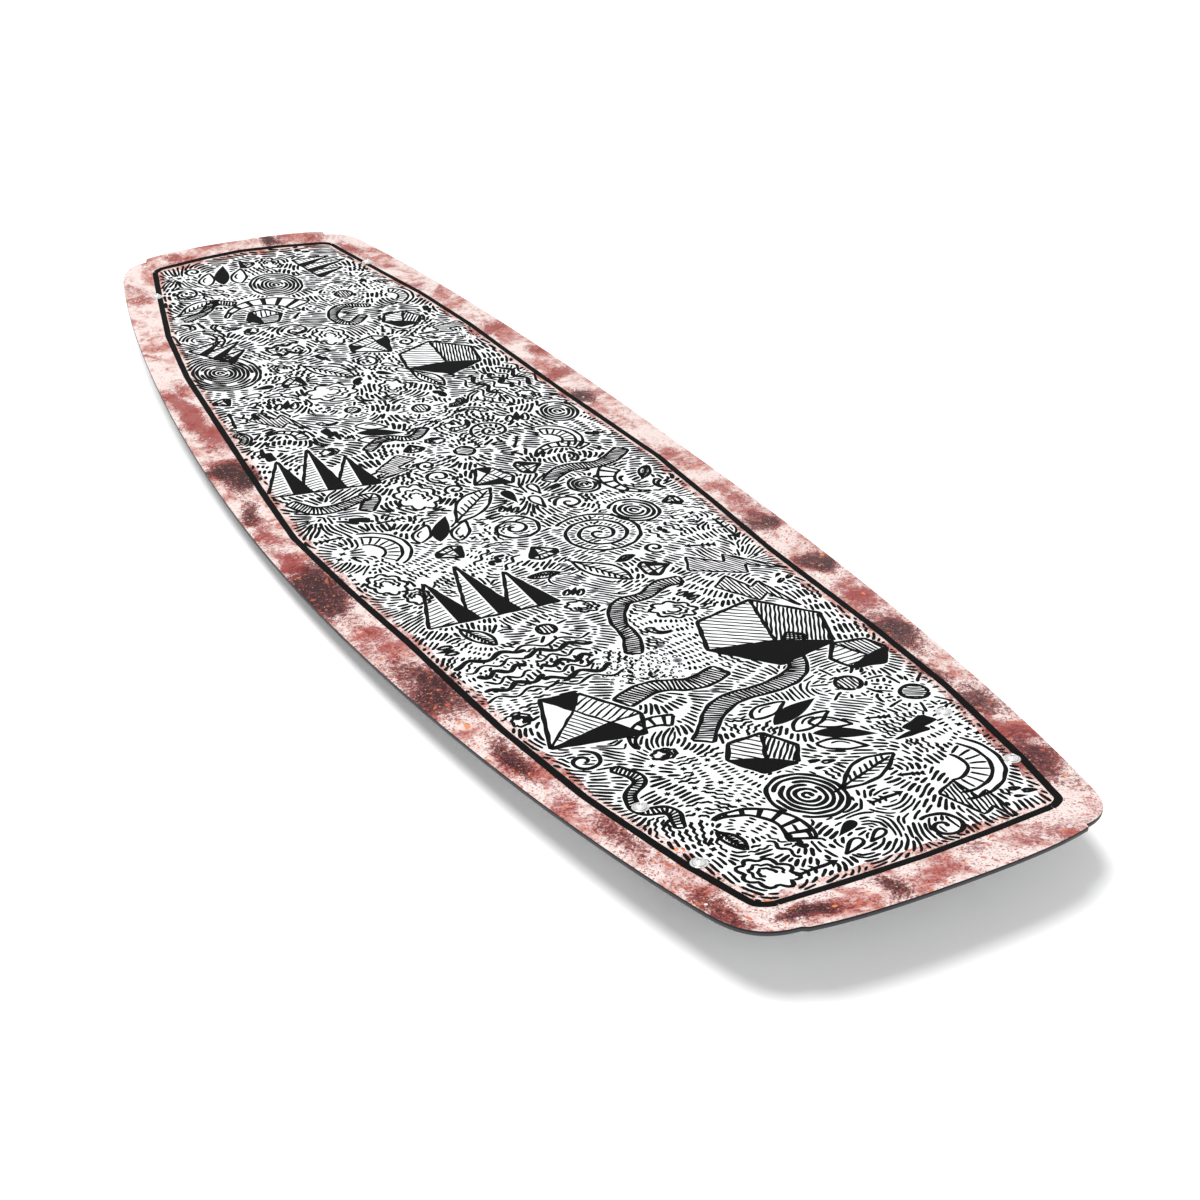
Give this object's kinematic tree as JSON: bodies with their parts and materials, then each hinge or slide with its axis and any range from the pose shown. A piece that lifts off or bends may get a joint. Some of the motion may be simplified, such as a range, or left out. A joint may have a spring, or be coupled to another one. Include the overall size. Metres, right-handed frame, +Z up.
{
  "type": "wakeboard",
  "caption": "Twin-tip wakeboard with rocker, bevelled rails, raised tip tongues, threaded binding inserts on the centre line and corner fins bolted through the deck; no bindings fitted.",
  "frame": {"origin": "middle of the base, on the surface that the board rests on", "axes": "+X to the nose tip, +Y to the left rail, +Z up out of the deck"},
  "size_m": [1.3014, 0.4004, 0.0519],
  "materials": {
    "deck_print": "printed sheet with a satin clear coat",
    "base_print": "smooth plain base sheet",
    "glass_laminate": "cured glass cloth and resin",
    "core_foam": "rigid closed-cell foam",
    "stringer_wood": "sawn softwood",
    "block_wood": "dense plywood block",
    "rail_plastic": "moulded charcoal rail, satin",
    "insert_steel": "satin stainless",
    "sleeve_plastic": "plain moulded tube",
    "nut_brass": "turned brass",
    "screw_steel": "polished stainless",
    "fin_plastic": "moulded black, satin"
  },
  "bodies": {
    "root": {"base_laminate": "glass_laminate", "base_sheet": "base_print", "core_left": "core_foam", "core_middle": "core_foam", "core_right": "core_foam", "deck_sheet": "deck_print", "fin_nose_left": "fin_plastic", "fin_nose_right": "fin_plastic", "fin_nut_nose_left_inner": "nut_brass", "fin_nut_nose_left_outer": "nut_brass", "fin_nut_nose_right_inner": "nut_brass", "fin_nut_nose_right_outer": "nut_brass", "fin_nut_tail_left_inner": "nut_brass", "fin_nut_tail_left_outer": "nut_brass", "fin_nut_tail_right_inner": "nut_brass", "fin_nut_tail_right_outer": "nut_brass", "fin_screw_nose_left_inner": "screw_steel", "fin_screw_nose_left_outer": "screw_steel", "fin_screw_nose_right_inner": "screw_steel", "fin_screw_nose_right_outer": "screw_steel", "fin_screw_tail_left_inner": "screw_steel", "fin_screw_tail_left_outer": "screw_steel", "fin_screw_tail_right_inner": "screw_steel", "fin_screw_tail_right_outer": "screw_steel", "fin_sleeve_nose_left_inner": "sleeve_plastic", "fin_sleeve_nose_left_outer": "sleeve_plastic", "fin_sleeve_nose_right_inner": "sleeve_plastic", "fin_sleeve_nose_right_outer": "sleeve_plastic", "fin_sleeve_tail_left_inner": "sleeve_plastic", "fin_sleeve_tail_left_outer": "sleeve_plastic", "fin_sleeve_tail_right_inner": "sleeve_plastic", "fin_sleeve_tail_right_outer": "sleeve_plastic", "fin_tail_left": "fin_plastic", "fin_tail_right": "fin_plastic", "fin_washer_nose_left_inner": "screw_steel", "fin_washer_nose_left_outer": "screw_steel", "fin_washer_nose_right_inner": "screw_steel", "fin_washer_nose_right_outer": "screw_steel", "fin_washer_tail_left_inner": "screw_steel", "fin_washer_tail_left_outer": "screw_steel", "fin_washer_tail_right_inner": "screw_steel", "fin_washer_tail_right_outer": "screw_steel", "insert_block_nose": "block_wood", "insert_block_tail": "block_wood", "insert_strip_nose_inner": "insert_steel", "insert_strip_nose_outer": "insert_steel", "insert_strip_tail_inner": "insert_steel", "insert_strip_tail_outer": "insert_steel", "rail_left": "rail_plastic", "rail_right": "rail_plastic", "stringer_left": "stringer_wood", "stringer_right": "stringer_wood", "tip_nose": "rail_plastic", "tip_tail": "rail_plastic", "top_laminate": "glass_laminate"}
  },
  "joints": []
}
